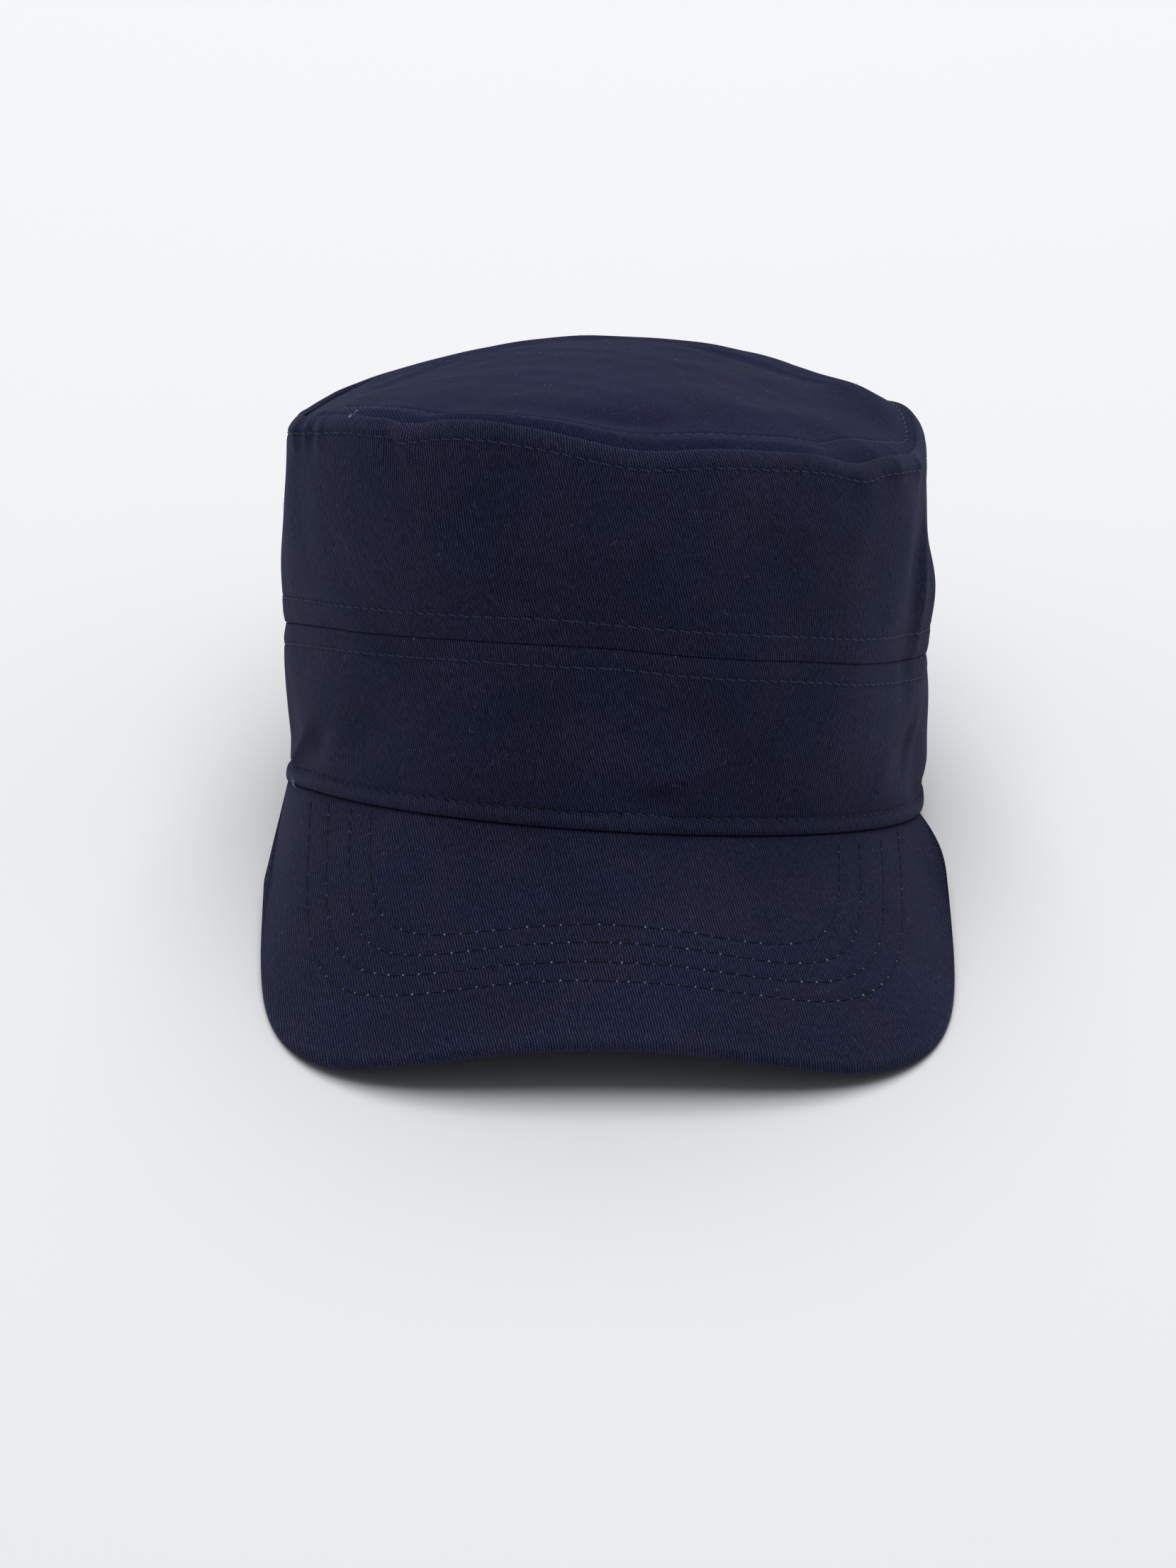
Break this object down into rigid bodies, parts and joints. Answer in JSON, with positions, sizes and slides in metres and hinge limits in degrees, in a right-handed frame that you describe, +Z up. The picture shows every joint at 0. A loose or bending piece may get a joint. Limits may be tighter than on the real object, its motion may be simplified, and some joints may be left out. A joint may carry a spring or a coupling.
{
  "type": "cadet cap",
  "caption": "Soft navy cotton cap with a low band, a taller upper wall, a flat oval top and a stiff arched peak, resting on its rim and peak.",
  "frame": {"origin": "under the middle of the cap's outline, on the surface that it rests on", "axes": "+Z up from that surface, -Y the way the peak points, +X to the right of someone who faces the peak"},
  "size_m": [0.1828, 0.28, 0.1448],
  "materials": {
    "crown_twill": "matt navy cotton twill, lightly brushed, with topstitching",
    "top_twill": "matt navy cotton twill that catches the light from above",
    "peak_twill": "matt navy cotton twill, stretched over a stiff board and stitched in rows",
    "thread": "navy polyester sewing thread"
  },
  "bodies": {
    "root": {"lower_band": "crown_twill", "upper_wall": "crown_twill", "top_panel": "top_twill", "peak": "peak_twill"}
  },
  "joints": []
}
